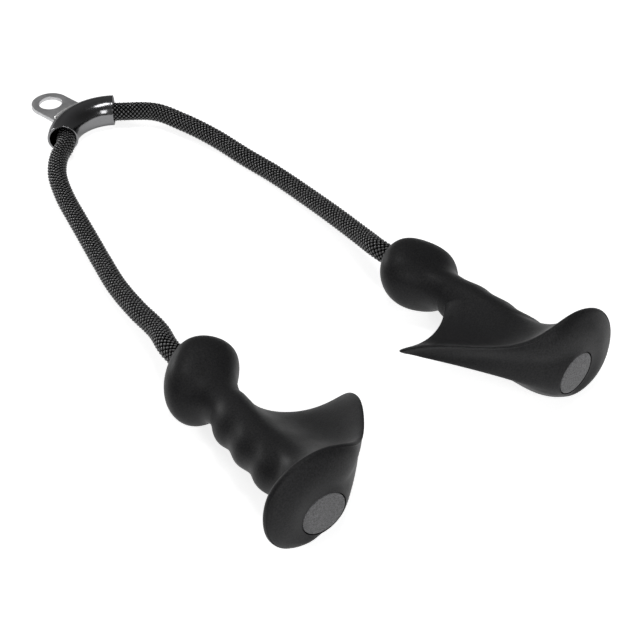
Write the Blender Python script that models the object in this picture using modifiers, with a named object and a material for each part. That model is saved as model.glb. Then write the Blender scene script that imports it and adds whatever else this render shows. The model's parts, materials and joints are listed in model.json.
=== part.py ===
"""Triceps rope attachment: a bent steel yoke on one braided rope, with a moulded handle on each end.

It lies on the floor as it is put down. +Z is up and +Y points along the rope to the yoke. The origin
is on the floor, under the middle of everything but the rope. Lengths are metres and angles radians.
"""
import math

import bmesh
import bpy
import numpy as np
from mathutils import Matrix, Vector

GAP = 0.0003                    # between two pieces that touch on the real object
OVERRUN = 0.006                 # how far a cutter runs past what it cuts
MERGE = 0.00001

# Rope
ROPE_DIAMETER = 0.016
ROPE_POINT_SPACING = 0.030
ROUTE_FINENESS = 24             # points between two chosen ones, when a route is measured
FLEX_LENGTH = 0.024             # the stretch at a mouth of the tube that bends when a branch swings
MOUTH_STUB = 0.002              # how far the stretch in the yoke stands out of each mouth
END_STUB = 0.0015               # the short first and last run of a stretch, which squares its ends
ENTRY_RUN = 0.010               # the straight run into a handle
# The middle of each branch sags to the floor
LEFT_ROUTE = ((-0.0275, 0.187, 0.013), (-0.0405, 0.169, 0.0125), (-0.052, 0.138, 0.0105),
              (-0.059, 0.108, 0.0095), (-0.065, 0.081, 0.009), (-0.073, 0.047, 0.0095),
              (-0.081, 0.013, 0.012), (-0.087, -0.025, 0.017), (-0.0905, -0.060, 0.022))
RIGHT_ROUTE = ((0.073, 0.196, 0.012), (0.085, 0.168, 0.0105), (0.093, 0.134, 0.0095),
               (0.097, 0.096, 0.009), (0.101, 0.059, 0.0095), (0.101, 0.019, 0.012),
               (0.098, -0.024, 0.017), (0.093, -0.068, 0.023))

# Yoke: the tube is bent round a centre that lies on the handles' side
TUBE_DIAMETER = 0.026
TUBE_WALL = 0.002
BEND_RADIUS = 0.0415            # of the tube's centre line
BEND_ANGLE = math.radians(92)
LIP_ROUNDING = 0.0005
YOKE_PLACE = (0.0225, 0.1845)   # the bend's centre on the floor
YOKE_TURN = math.radians(11.5)

# Tab: the flat plate that takes the carabiner
TAB_THICKNESS = 0.0035
TAB_HOLE_DIAMETER = 0.020
TAB_END_RADIUS = 0.0165
TAB_REACH = 0.0365              # from the tube's centre line to the middle of the hole
TAB_ROOT_WIDTH = 0.035
TAB_EDGE_ROUNDING = 0.0004
WELD_RADIUS = 0.0016

# Grip: s runs from the rope's entry to the end face, t to the palm, n up
GRIP_LENGTH = 0.177
COLLAR_LENGTH = 0.060
COLLAR_RADIUS = 0.033
PALM_RADIUS = 0.016
TOP_RADIUS = 0.018
FINGER_RADIUS = 0.0190
UNDER_RADIUS = 0.018
GROOVE_DEPTH = 0.0026
GROOVE_PITCH = 0.025
FIRST_GROOVE = 0.066
WING_REACH = 0.0885
LOBE_RISE = 0.0455
RIM_LIP = 0.0035                # how far the rounded rim stands out before it turns down
CAP_RADIUS = 0.0165
CAP_THICKNESS = 0.003

# Where the handles lie
LEFT_ENTRY = (-0.097, -0.093)   # where the rope goes in
RIGHT_ENTRY = (0.090, -0.102)
LEFT_TOE = math.radians(3)
RIGHT_TOE = math.radians(5.5)
HANDLE_ROLL = math.radians(-9)  # both are rolled the same way by the rope's lay

# Inside a handle
SWIVEL_CLEARANCE = 0.0003       # between the rope and what turns on it
LINER_START = 0.012
LINER_WALL = 0.0032
POCKET_DEPTH = 0.025            # from the end face to the liner's flange
FLANGE_RADIUS = 0.0147
FLANGE_THICKNESS = 0.0045
WASHER_RADIUS = 0.0140
WASHER_THICKNESS = 0.002
FERRULE_WALL = 0.0030
FERRULE_LENGTH = 0.013
CRIMP_DEPTH = 0.0005

# Facets
ROPE_FACETS = 4
TUBE_FACETS = 10
WELD_FACETS = 2
EDGE_FACETS = 2
SHARP_ANGLE = math.radians(50)
BEND_STEPS = 15
TURN_STEPS = 24
CAP_STEPS = 36
ARC_STEPS = 14
SIDE_STEPS = 5
SUBDIVISIONS = 1
SETTLE_ROUNDS = 4

# Derived sizes
ROPE_RADIUS = ROPE_DIAMETER / 2
TUBE_RADIUS = TUBE_DIAMETER / 2
BORE_RADIUS = ROPE_RADIUS + SWIVEL_CLEARANCE
LINER_RADIUS = BORE_RADIUS + LINER_WALL
LINER_END = GRIP_LENGTH - POCKET_DEPTH
CAP_SEAT = GRIP_LENGTH - CAP_THICKNESS
HALF_BEND = BEND_ANGLE / 2
ROPE_BEND_RADIUS = BEND_RADIUS - (TUBE_RADIUS - TUBE_WALL - ROPE_RADIUS - GAP)

# The grip's cage has 16 columns: 0 is the palm side, 4 the top, 8 the finger side and 12 the underside.
COLUMNS = 16
SHAFT_RINGS = 12
COLLAR_SHARES = ((0.09, 0.25), (0.08, 0.30), (0.13, 0.46), (0.27, 0.81), (0.47, 1.00),
                 (0.64, 1.04), (0.78, 0.72), (0.89, 0.54), (1.00, 0.48))
COLLAR_SIDE_SHARES = (0.96, 0.97, 0.86, 0.78)   # palm, top, finger and under side
COLLAR_SKEW_SHARE = 0.12                        # longer from palm and top to finger and under side
COLLAR_FADE_SHARE = 0.7                         # from here to the neck the collar turns round again
COLLAR_TILT_SHARE = 0.20                        # of its radius, its lower finger side leans to the end
COLLAR_TILT_SIDE = math.radians(40)             # from the palm to the top, the side that leans back
COLLAR_BACK_SHARE = 0.16                        # how much fuller the other side's back is
COLLAR_BACK_PLACE = (0.79, 0.16)                # where, and how far to each side
# Where each column leaves the shaft, as shares of GRIP_LENGTH
FLARE_SHARES = (0.36, 0.42, 0.50, 0.59, 0.68, 0.76, 0.82, 0.84,
                0.84, 0.84, 0.82, 0.79, 0.74, 0.64, 0.51, 0.41)
# The next tables are shares of GRIP_LENGTH, WING_REACH and LOBE_RISE, one row a column
RIM_SHARES = ((0.48, 1.00, 0.02), (0.58, 0.83, 0.31), (0.70, 0.68, 0.50), (0.81, 0.50, 0.59),
              (0.88, 0.29, 0.83), (0.91, 0.02, 1.00), (0.94, -0.27, 0.93), (0.95, -0.47, 0.61),
              (0.96, -0.53, 0.13), (0.96, -0.46, -0.30), (0.96, -0.24, -0.57), (0.95, -0.02, -0.61),
              (0.91, 0.19, -0.43), (0.85, 0.39, -0.09), (0.74, 0.66, 0.22), (0.57, 0.91, 0.13))
CORNER_SHARES = ((0.51, 0.42, 0.04), (0.57, 0.44, 0.06), (0.67, 0.44, 0.07), (0.78, 0.37, 0.22),
                 (0.86, 0.16, 0.46), (0.89, -0.02, 0.59), (0.90, -0.19, 0.50), (0.90, -0.29, 0.30),
                 (0.90, -0.31, 0.04), (0.90, -0.27, -0.20), (0.90, -0.16, -0.39), (0.89, -0.01, -0.43),
                 (0.85, 0.16, -0.35), (0.77, 0.33, -0.17), (0.66, 0.44, -0.04), (0.56, 0.42, -0.11))
OUTER_SHARES = ((0.66, 0.83, 0.13), (0.69, 0.70, 0.24), (0.78, 0.56, 0.37), (0.87, 0.41, 0.50),
                (0.93, 0.23, 0.74), (0.95, 0.00, 0.89), (0.97, -0.22, 0.83), (0.99, -0.40, 0.52),
                (0.99, -0.46, 0.09), (0.99, -0.39, -0.28), (0.99, -0.22, -0.50), (0.99, -0.03, -0.57),
                (0.95, 0.17, -0.46), (0.89, 0.36, -0.20), (0.80, 0.59, 0.09), (0.69, 0.80, 0.13))
CONE_SHARES = ((0.84, 0.56, 0.09), (0.86, 0.51, 0.26), (0.90, 0.41, 0.35), (0.95, 0.29, 0.43),
               (0.98, 0.13, 0.59), (0.99, -0.02, 0.67), (1.00, -0.18, 0.61), (1.01, -0.29, 0.37),
               (1.01, -0.32, 0.04), (1.01, -0.29, -0.22), (1.01, -0.19, -0.39), (1.01, -0.06, -0.48),
               (0.99, 0.09, -0.43), (0.97, 0.24, -0.33), (0.90, 0.41, -0.13), (0.86, 0.53, -0.02))
RIM_LEAN_SHARE = 0.038                      # of GRIP_LENGTH: the top leans to the end face
RIM_TWIST_SHARE = 0.035                     # of GRIP_LENGTH: the palm side's top does so more
CONE_LEAN_SHARE = 0.2                       # of the rim's lean
CORNER_BLEND_SHARES = (0.30, 0.55, 0.80)    # rings between the shaft and the rim
NECK_SHARE = 0.25                           # of the shaft's rings that swell from the neck
LIP_END_SHARE = 0.6                         # of RIM_LIP, towards the end face
MID_OUTER_SHARE = 0.55                      # from the rim to the outer ring
CAP_EDGE_SHARE = 1.12                       # of CAP_RADIUS, the flat round the cap
CAP_CORE_SHARE = 0.5

# Shares that shape the tab's sides and the ferrule's crimps
TAB_SIDE_SHARE = 0.45                       # how far down the tongue its parallel sides run
CRIMP_SHARES = (0.25, 0.55)

# Colour, roughness and metallic value of each finish
FINISHES = {
    "black_nickel": ((0.07, 0.07, 0.075), 0.18, 1.0),
    "satin_steel": ((0.42, 0.42, 0.43), 0.38, 1.0),
    "weld_steel": ((0.50, 0.50, 0.50), 0.30, 1.0),
    "braid": ((0.020, 0.020, 0.021), 0.75, 0.0),
    "rubber": ((0.018, 0.018, 0.019), 0.55, 0.0),
    "nylon": ((0.050, 0.050, 0.052), 0.45, 0.0),
    "zinc_steel": ((0.55, 0.55, 0.56), 0.35, 1.0),
    "aluminium": ((0.60, 0.60, 0.61), 0.32, 1.0),
    "cap_grey": ((0.13, 0.13, 0.135), 0.60, 0.0),
}

for old_object in list(bpy.data.objects):
    bpy.data.objects.remove(old_object)
parts = bpy.data.collections.new("triceps_rope_attachment")
cutters = bpy.data.collections.new("cutters")
for collection in (parts, cutters):
    bpy.context.scene.collection.children.link(collection)
carrier_worlds = {}


def finish(name):
    """The Principled material of one finish, made once."""
    material = bpy.data.materials.get(name) or bpy.data.materials.new(name)
    material.use_nodes = True
    shader = material.node_tree.nodes["Principled BSDF"]
    color, roughness, metallic = FINISHES[name]
    shader.inputs["Base Color"].default_value = (*color, 1.0)
    shader.inputs["Roughness"].default_value = roughness
    shader.inputs["Metallic"].default_value = metallic
    return material


def settle(item, world, parent):
    """Puts an item at a world matrix, under the empty that it moves with."""
    item.parent = parent
    item.matrix_basis = carrier_worlds[parent.name].inverted() @ world if parent else world


def carrier(name, world, parent=None):
    """An empty that stands on a joint's axis."""
    empty = bpy.data.objects.new(name, None)
    parts.objects.link(empty)
    settle(empty, world, parent)
    carrier_worlds[name] = world
    return empty


def piece(item, finish_name, world, parent):
    """Adds a finished piece to the object."""
    item.data.materials.append(finish(finish_name))
    parts.objects.link(item)
    settle(item, world, parent)
    return item


def tube(name, points, radius, bevel, capped=True):
    """A round tube along points, as a bevelled curve."""
    curve = bpy.data.curves.new(name, "CURVE")
    curve.dimensions = "3D"
    curve.bevel_depth = radius
    curve.bevel_resolution = bevel
    curve.use_fill_caps = capped
    spline = curve.splines.new("POLY")
    spline.points.add(len(points) - 1)
    for spot, point in zip(spline.points, points):
        spot.co = (*point, 1.0)
    return bpy.data.objects.new(name, curve)


def welded_mesh(curve_object):
    """The mesh of a curve object, with its caps or walls welded, in a new object that takes its name."""
    bpy.context.scene.collection.objects.link(curve_object)
    bpy.context.view_layer.update()
    graph = bpy.context.evaluated_depsgraph_get()
    mesh = bpy.data.meshes.new_from_object(curve_object.evaluated_get(graph))
    name = curve_object.name
    bpy.data.objects.remove(curve_object)
    body = bmesh.new()
    body.from_mesh(mesh)
    bmesh.ops.remove_doubles(body, verts=body.verts, dist=MERGE)
    bmesh.ops.recalc_face_normals(body, faces=body.faces)
    body.to_mesh(mesh)
    body.free()
    return bpy.data.objects.new(name, mesh)


def turned(name, profile, steps, closed):
    """A turned shape about the handle's s axis, from (radius, s) pairs that run down its outer side."""
    mesh = bpy.data.meshes.new(name)
    count = len(profile)
    edges = [(i, i + 1) for i in range(count - 1)]
    if closed:
        edges.append((count - 1, 0))
    mesh.from_pydata([(radius, 0.0, s) for radius, s in profile], edges, [])
    shape = bpy.data.objects.new(name, mesh)
    screw = shape.modifiers.new("turn", "SCREW")
    screw.steps = steps
    screw.render_steps = steps
    screw.use_merge_vertices = True
    screw.merge_threshold = MERGE
    return shape


def bevel_edges(item, width):
    """Rounds the sharp edges of a mesh."""
    bevel = item.modifiers.new("edges", "BEVEL")
    bevel.width = width
    bevel.segments = EDGE_FACETS
    bevel.limit_method = "ANGLE"
    bevel.angle_limit = SHARP_ANGLE
    return item


def even(start, end, count):
    """Evenly spaced numbers from one value to another."""
    return [start + (end - start) * k / (count - 1) for k in range(count)]


def knot_slope(before, knot, after):
    """The slope of a smooth curve at a knot, with its two spans weighed by their lengths."""
    inwards, outwards = knot - before, after - knot
    slope = outwards.length * inwards.normalized() + inwards.length * outwards.normalized()
    return slope / (inwards.length + outwards.length)


def span_point(start, end, start_slope, end_slope, share):
    """A point on the curve between two knots, from their places and slopes."""
    left = 1 - share
    place = (1 + 2 * share) * left ** 2 * start + share ** 2 * (3 - 2 * share) * end
    return place + (end - start).length * share * left * (left * start_slope - share * end_slope)


class Route:
    """A smooth curve through points, measured along its length."""

    def __init__(self, points, fineness=ROUTE_FINENESS):
        knots = [Vector(point) for point in points]
        knots = [2 * knots[0] - knots[1]] + knots + [2 * knots[-1] - knots[-2]]
        self.points = [knots[1]]
        for a, b, c, d in zip(knots, knots[1:], knots[2:], knots[3:]):
            slopes = knot_slope(a, b, c), knot_slope(b, c, d)
            self.points += [span_point(b, c, *slopes, k / fineness) for k in range(1, fineness + 1)]
        steps = [(b - a).length for a, b in zip(self.points, self.points[1:])]
        self.lengths = np.concatenate([[0.0], np.cumsum(steps)])
        self.length = float(self.lengths[-1])

    def at(self, distance):
        """The point at a distance along the curve."""
        values = [[point[axis] for point in self.points] for axis in range(3)]
        return Vector([np.interp(distance, self.lengths, along) for along in values])

    def stretch(self, start, end, spacing):
        """Evenly spaced points from one distance to another, with a short run at each end."""
        count = max(2, round((end - start) / spacing) + 1)
        inner = even(start, end, count)[1:-1]
        distances = [start, start + END_STUB, *inner, end - END_STUB, end]
        return [self.at(distance) for distance in distances]


def bend_point(radius, angle):
    """A point on a circle about the bend's centre, with the angle counted from +Y towards +X."""
    return Vector((radius * math.sin(angle), radius * math.cos(angle), 0.0))


def bend_arc(radius, half_angle, count):
    """Points on an arc about the bend's centre."""
    return [bend_point(radius, angle) for angle in even(-half_angle, half_angle, count)]


def mouth(sign):
    """The middle of the rope at a mouth of the tube, and the way it leaves."""
    outwards = Vector((sign * math.cos(HALF_BEND), -math.sin(HALF_BEND), 0.0))
    return bend_point(ROPE_BEND_RADIUS, sign * HALF_BEND), outwards


def rope_in_yoke(world, root):
    """The stretch of rope that lies against the inside of the bend."""
    stubs = [spot + MOUTH_STUB * outwards for spot, outwards in (mouth(-1), mouth(1))]
    points = [stubs[0], *bend_arc(ROPE_BEND_RADIUS, HALF_BEND, BEND_STEPS), stubs[1]]
    piece(tube("rope_in_yoke", points, ROPE_RADIUS, ROPE_FACETS), "braid", world, root)


def yoke_tube(world, root):
    """The bent tube: an open skin along the bend, thickened inwards, with rounded lips."""
    arc = bend_arc(BEND_RADIUS, HALF_BEND, BEND_STEPS)
    skin = tube("yoke_tube", arc, TUBE_RADIUS, TUBE_FACETS, capped=False)
    body = welded_mesh(skin)
    wall = body.modifiers.new("wall", "SOLIDIFY")
    wall.thickness = TUBE_WALL
    wall.offset = -1.0
    wall.use_even_offset = True
    bevel_edges(body, LIP_ROUNDING)
    body.data.shade_smooth()
    return piece(body, "black_nickel", world, root)


def tab_outline(root_radius, hole_y):
    """Half the tab's outline, from the root's corner to the tip: swept side, parallel side and round end."""
    half_root = TAB_ROOT_WIDTH / 2
    corner = bend_point(root_radius, math.asin(half_root / root_radius))
    side_end = Vector((TAB_END_RADIUS, hole_y - TAB_SIDE_SHARE * (hole_y - root_radius), 0.0))
    bend = Vector((TAB_END_RADIUS, corner.y, 0.0))
    side = []
    for share in even(0, 1, SIDE_STEPS + 1):
        side.append((1 - share) ** 2 * corner + 2 * share * (1 - share) * bend + share ** 2 * side_end)
    end = []
    for angle in even(0, math.pi / 2, ARC_STEPS // 2 + 1):
        spot = Vector((math.cos(angle), math.sin(angle), 0.0))
        end.append(Vector((0.0, hole_y, 0.0)) + TAB_END_RADIUS * spot)
    return side + end


def flat_plate(name, outlines, thickness):
    """A plate from closed outlines, the later ones being holes."""
    curve = bpy.data.curves.new(name, "CURVE")
    curve.dimensions = "2D"
    curve.fill_mode = "BOTH"
    curve.extrude = thickness / 2
    for outline in outlines:
        spline = curve.splines.new("POLY")
        spline.points.add(len(outline) - 1)
        spline.use_cyclic_u = True
        for spot, point in zip(spline.points, outline):
            spot.co = (point.x, point.y, 0.0, 1.0)
    return welded_mesh(bpy.data.objects.new(name, curve))


def yoke_tab(world, root):
    """The plate, seated on the outside of the bend, with the hole for the carabiner."""
    root_radius = BEND_RADIUS + TUBE_RADIUS + GAP
    hole_y = BEND_RADIUS + TAB_REACH
    right = tab_outline(root_radius, hole_y)
    left = [Vector((-point.x, point.y, 0.0)) for point in reversed(right[:-1])]
    root_half_angle = math.asin(TAB_ROOT_WIDTH / 2 / root_radius)
    seat = bend_arc(root_radius, root_half_angle, ARC_STEPS)[1:-1]
    hole = []
    for angle in even(0, 2 * math.pi, 2 * ARC_STEPS + 1)[:-1]:
        radius = TAB_HOLE_DIAMETER / 2
        hole.append(Vector((radius * math.cos(angle), hole_y + radius * math.sin(angle), 0.0)))
    plate = flat_plate("yoke_tab", [right + left + seat, hole], TAB_THICKNESS)
    bevel_edges(plate, TAB_EDGE_ROUNDING)
    face = world @ Vector((0.0, (hole_y - TAB_HOLE_DIAMETER / 2 + root_radius) / 2, TAB_THICKNESS / 2))
    middle = world @ Vector((0.0, hole_y, 0.0))
    print("tab face", [round(value, 5) for value in face], "hole", [round(value, 5) for value in middle])
    return piece(plate, "satin_steel", world, root)


def welds(world, root):
    """A bead along each side of the plate, where it meets the tube."""
    height = TAB_THICKNESS / 2 + GAP + WELD_RADIUS
    reach = math.sqrt((TUBE_RADIUS + GAP + WELD_RADIUS) ** 2 - height ** 2)
    radius = BEND_RADIUS + reach
    half_angle = math.asin((TAB_ROOT_WIDTH / 2 - WELD_RADIUS) / radius)
    arc = bend_arc(radius, half_angle, ARC_STEPS)
    for name, sign in (("weld_upper", 1), ("weld_lower", -1)):
        points = [point + Vector((0.0, 0.0, sign * height)) for point in arc]
        piece(tube(name, points, WELD_RADIUS, WELD_FACETS), "weld_steel", world, root)


def by_side(angle, palm, top, finger, under):
    """A value that each side has its own of, blended round the shaft."""
    level = palm if math.cos(angle) > 0 else finger
    upright = top if math.sin(angle) > 0 else under
    return level * math.cos(angle) ** 2 + upright * math.sin(angle) ** 2


def table_ring(shares, lean=1.0):
    """One ring of the cage from a table of shares, leaning towards the end face at its top."""
    ring = []
    for column, (s, t, n) in enumerate(shares):
        angle = 2 * math.pi * column / COLUMNS
        s += lean * (RIM_LEAN_SHARE * math.sin(angle) + RIM_TWIST_SHARE * math.sin(2 * angle))
        ring.append(Vector((s * GRIP_LENGTH, t * WING_REACH, n * LOBE_RISE)))
    return ring


def round_ring(s, radius):
    """One round ring of the cage."""
    angles = [2 * math.pi * column / COLUMNS for column in range(COLUMNS)]
    return [Vector((s, radius * math.cos(angle), radius * math.sin(angle))) for angle in angles]


def collar_ring(s_share, radius_share):
    """One ring of the collar, which is lopsided where it is wide and round where it joins the neck."""
    fade = min(1.0, (1.0 - s_share) / (1.0 - COLLAR_FADE_SHARE))
    place, spread = COLLAR_BACK_PLACE
    fuller = COLLAR_BACK_SHARE * max(0.0, 1.0 - abs(s_share - place) / spread)
    ring = []
    for point in round_ring(s_share * COLLAR_LENGTH, radius_share * COLLAR_RADIUS):
        angle = math.atan2(point.z, point.y)
        shape = by_side(angle, *COLLAR_SIDE_SHARES) + COLLAR_SKEW_SHARE * math.sin(2 * angle)
        size = 1.0 + fade * (shape - 1.0) + fuller * max(0.0, -math.cos(angle - COLLAR_TILT_SIDE))
        tilt = COLLAR_TILT_SHARE * fade * size * radius_share * COLLAR_RADIUS
        s = point.x - tilt * math.cos(angle - COLLAR_TILT_SIDE)
        ring.append(Vector((s, size * point.y, size * point.z)))
    return ring


def shaft_ring(step):
    """One ring of the shaft, whose columns run on to where each leaves for the flare."""
    share = step / SHAFT_RINGS
    neck = COLLAR_SHARES[-1][1] * COLLAR_RADIUS
    ring = []
    for column in range(COLUMNS):
        angle = 2 * math.pi * column / COLUMNS
        s = COLLAR_LENGTH + (FLARE_SHARES[column] * GRIP_LENGTH - COLLAR_LENGTH) * share
        full = by_side(angle, PALM_RADIUS, TOP_RADIUS, FINGER_RADIUS, UNDER_RADIUS)
        radius = neck + (full - neck) * min(1.0, share / NECK_SHARE)
        wave = -math.cos(2 * math.pi * (s - FIRST_GROOVE) / GROOVE_PITCH)
        radius += GROOVE_DEPTH * wave * max(0.0, -math.cos(angle))
        ring.append(Vector((s, radius * math.cos(angle), radius * math.sin(angle))))
    return ring


def grip_rings():
    """The cage of the moulded grip, ring by ring from the rope's entry to the end face."""
    rings = [collar_ring(s, radius) for s, radius in COLLAR_SHARES]
    rings += [shaft_ring(step) for step in range(1, SHAFT_RINGS + 1)]
    rim, corner = table_ring(RIM_SHARES), table_ring(CORNER_SHARES)
    outer, cone = table_ring(OUTER_SHARES), table_ring(CONE_SHARES, CONE_LEAN_SHARE)
    shaft_end = rings[-1]
    for w in CORNER_BLEND_SHARES:
        rings.append([(1 - w) ** 2 * a + 2 * w * (1 - w) * b + w * w * c
                      for a, b, c in zip(shaft_end, corner, rim)])
    rings.append(rim)
    towards_end = Vector((LIP_END_SHARE * RIM_LIP, 0.0, 0.0))
    rings.append([a + RIM_LIP * (b - a).normalized() + towards_end for a, b in zip(rim, outer)])
    rings.append([a.lerp(b, MID_OUTER_SHARE) + towards_end / 2 for a, b in zip(rim, outer)])
    rings += [outer, cone]
    for share in (CAP_EDGE_SHARE, 1.0, CAP_CORE_SHARE):
        rings.append(round_ring(GRIP_LENGTH, share * CAP_RADIUS))
    return rings


def cage_mesh(name, rings, mirrored):
    """A closed cage from rings, mirrored for the right hand."""
    body = bmesh.new()
    side = -1 if mirrored else 1
    grid = [[body.verts.new((point.x, side * point.y, point.z)) for point in ring] for ring in rings]
    for low, high in zip(grid, grid[1:]):
        for column in range(COLUMNS):
            after = (column + 1) % COLUMNS
            body.faces.new((low[column], low[after], high[after], high[column]))
    body.faces.new(grid[0])
    body.faces.new(grid[-1])
    bmesh.ops.recalc_face_normals(body, faces=body.faces)
    mesh = bpy.data.meshes.new(name)
    body.to_mesh(mesh)
    body.free()
    mesh.shade_smooth()
    return bpy.data.objects.new(name, mesh)


def smooth_points(cage):
    """The points of the subdivided cage, before anything is cut from it."""
    bpy.context.scene.collection.objects.link(cage)
    bpy.context.view_layer.update()
    mesh = cage.evaluated_get(bpy.context.evaluated_depsgraph_get()).to_mesh()
    points = np.array([vertex.co[:] for vertex in mesh.vertices])
    bpy.context.scene.collection.objects.unlink(cage)
    return points


def resting_frame(points, entry, heading):
    """Where a handle comes to rest: its collar and its flared end both touch the floor."""
    middle = GRIP_LENGTH / 2
    pitch = 0.0
    turn = Matrix.Rotation(heading, 3, "Z")
    roll = Matrix.Rotation(HANDLE_ROLL, 3, "X")
    for _ in range(SETTLE_ROUNDS):
        rotation = turn @ Matrix.Rotation(pitch, 3, "Y") @ roll
        heights = points @ np.array(rotation)[2]
        near = np.where(points[:, 0] < middle, heights, np.inf).argmin()
        far = np.where(points[:, 0] > middle, heights, np.inf).argmin()
        pitch += math.atan2(heights[far] - heights[near], points[far, 0] - points[near, 0])
    rotation = turn @ Matrix.Rotation(pitch, 3, "Y") @ roll
    height = -(points @ np.array(rotation)[2]).min()
    return Matrix.Translation((*entry, height)) @ rotation.to_4x4()


def grip_bore(name):
    """What is cut from a grip: the rope's entry, the liner's seat, the pocket and the cap's seat."""
    pocket = FLANGE_RADIUS + GAP
    pocket_start = LINER_END - FLANGE_THICKNESS - GAP
    seat = CAP_RADIUS + GAP
    end = GRIP_LENGTH + OVERRUN
    profile = [(0.0, end), (seat, end), (seat, CAP_SEAT - GAP)]
    profile += [(pocket, CAP_SEAT - GAP), (pocket, pocket_start)]
    profile += [(LINER_RADIUS + GAP, pocket_start), (LINER_RADIUS + GAP, LINER_START - GAP)]
    profile += [(BORE_RADIUS, LINER_START - GAP), (BORE_RADIUS, -OVERRUN), (0.0, -OVERRUN)]
    cutter = turned(name, profile, CAP_STEPS, closed=False)
    cutters.objects.link(cutter)
    cutter.hide_render = True
    cutter.display_type = "WIRE"
    return cutter


def liner(name):
    """The rigid tube that the grip is moulded on, with the flange that takes the pull."""
    flange_start = LINER_END - FLANGE_THICKNESS
    profile = [(BORE_RADIUS, LINER_END), (FLANGE_RADIUS, LINER_END), (FLANGE_RADIUS, flange_start)]
    profile += [(LINER_RADIUS, flange_start), (LINER_RADIUS, LINER_START), (BORE_RADIUS, LINER_START)]
    return turned(name, profile, CAP_STEPS, closed=True)


def washer(name):
    """The thrust washer between the liner's flange and the ferrule."""
    near = LINER_END + GAP
    far = near + WASHER_THICKNESS
    profile = [(BORE_RADIUS, far), (WASHER_RADIUS, far), (WASHER_RADIUS, near), (BORE_RADIUS, near)]
    return turned(name, profile, TURN_STEPS, closed=True)


def ferrule(name):
    """The crimped sleeve on the rope's end, with its two crimp marks."""
    near = LINER_END + WASHER_THICKNESS + 2 * GAP
    radius = BORE_RADIUS + FERRULE_WALL
    profile = [(BORE_RADIUS, near + FERRULE_LENGTH), (radius, near + FERRULE_LENGTH)]
    for share in reversed(CRIMP_SHARES):
        middle = near + (share + CRIMP_SHARES[0] / 2) * FERRULE_LENGTH
        half_mark = CRIMP_SHARES[0] * FERRULE_LENGTH / 2
        profile += [(radius, middle + half_mark), (radius - CRIMP_DEPTH, middle)]
        profile.append((radius, middle - half_mark))
    profile += [(radius, near), (BORE_RADIUS, near)]
    return turned(name, profile, TURN_STEPS, closed=True)


def end_cap(name):
    """The disc that closes the pocket, flush with the end face."""
    profile = [(0.0, GRIP_LENGTH), (CAP_RADIUS, GRIP_LENGTH), (CAP_RADIUS, CAP_SEAT), (0.0, CAP_SEAT)]
    return turned(name, profile, CAP_STEPS, closed=False)


def handle(side, frame, arm, grip_cage):
    """One handle on its swivel axis, and the rope's end and ferrule that it turns on."""
    swivel = carrier("handle_axis_" + side, frame, arm)
    along = frame @ Matrix.Rotation(math.pi / 2, 4, "Y")
    bore = grip_bore("grip_bore_" + side)
    settle(bore, along, swivel)
    cut = grip_cage.modifiers.new("bore", "BOOLEAN")
    cut.object = bore
    piece(grip_cage, "rubber", frame, swivel)
    piece(liner("liner_" + side), "nylon", along, swivel)
    piece(washer("washer_" + side), "zinc_steel", along, swivel)
    piece(end_cap("end_cap_" + side), "cap_grey", along, swivel)
    piece(ferrule("ferrule_" + side), "aluminium", along, arm)
    tail_end = LINER_END + WASHER_THICKNESS + 2 * GAP + FERRULE_LENGTH
    ends = [Vector((GAP, 0.0, 0.0)), Vector((tail_end, 0.0, 0.0))]
    piece(tube("rope_tail_" + side, ends, ROPE_RADIUS, ROPE_FACETS), "braid", frame, arm)


def branch(side, yoke_world, root):
    """One free branch of the rope with its handle."""
    sign = -1 if side == "left" else 1
    heading = -math.pi / 2 + (RIGHT_TOE if side == "right" else -LEFT_TOE)
    place = LEFT_ENTRY if side == "left" else RIGHT_ENTRY
    cage = cage_mesh("grip_" + side, grip_rings(), mirrored=side == "right")
    smooth = cage.modifiers.new("smooth", "SUBSURF")
    smooth.levels = SUBDIVISIONS
    smooth.render_levels = SUBDIVISIONS
    frame = resting_frame(smooth_points(cage), place, heading)
    spot, outwards = mouth(sign)
    start = yoke_world @ (spot + MOUTH_STUB * outwards)
    outwards = yoke_world.to_3x3() @ outwards
    entry = frame.translation
    back = -(frame.to_3x3() @ Vector((1.0, 0.0, 0.0)))
    hand_points = LEFT_ROUTE if side == "left" else RIGHT_ROUTE
    leave = [start, start + FLEX_LENGTH / 4 * outwards]
    route = Route([*leave, *hand_points, entry + ENTRY_RUN * back, entry])
    hinge = route.at(FLEX_LENGTH / 2)
    arm_world = Matrix.Translation(hinge)
    arm = carrier("arm_axis_" + side, arm_world)
    flex = route.stretch(GAP, FLEX_LENGTH, FLEX_LENGTH / 4)
    free = route.stretch(FLEX_LENGTH + GAP, route.length, ROPE_POINT_SPACING)
    yoke_inverse = yoke_world.inverted()
    flex_points = [yoke_inverse @ point for point in flex]
    piece(tube("rope_flex_" + side, flex_points, ROPE_RADIUS, ROPE_FACETS), "braid", yoke_world, root)
    free_points = [point - hinge for point in free]
    piece(tube("rope_" + side, free_points, ROPE_RADIUS, ROPE_FACETS), "braid", arm_world, arm)
    handle(side, frame, arm, cage)
    print(side, "free length", round(route.length, 4), "hinge", [round(value, 5) for value in hinge])
    print(side, "entry", [round(value, 5) for value in entry], "axis", [round(-value, 5) for value in back])
    return route


def attachment():
    """The whole object."""
    yoke_world = Matrix.Translation((*YOKE_PLACE, TUBE_RADIUS)) @ Matrix.Rotation(YOKE_TURN, 4, "Z")
    root = carrier("yoke_axis", yoke_world)
    yoke_tube(yoke_world, root)
    yoke_tab(yoke_world, root)
    welds(yoke_world, root)
    rope_in_yoke(yoke_world, root)
    for side in ("left", "right"):
        branch(side, yoke_world, root)


attachment()
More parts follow.
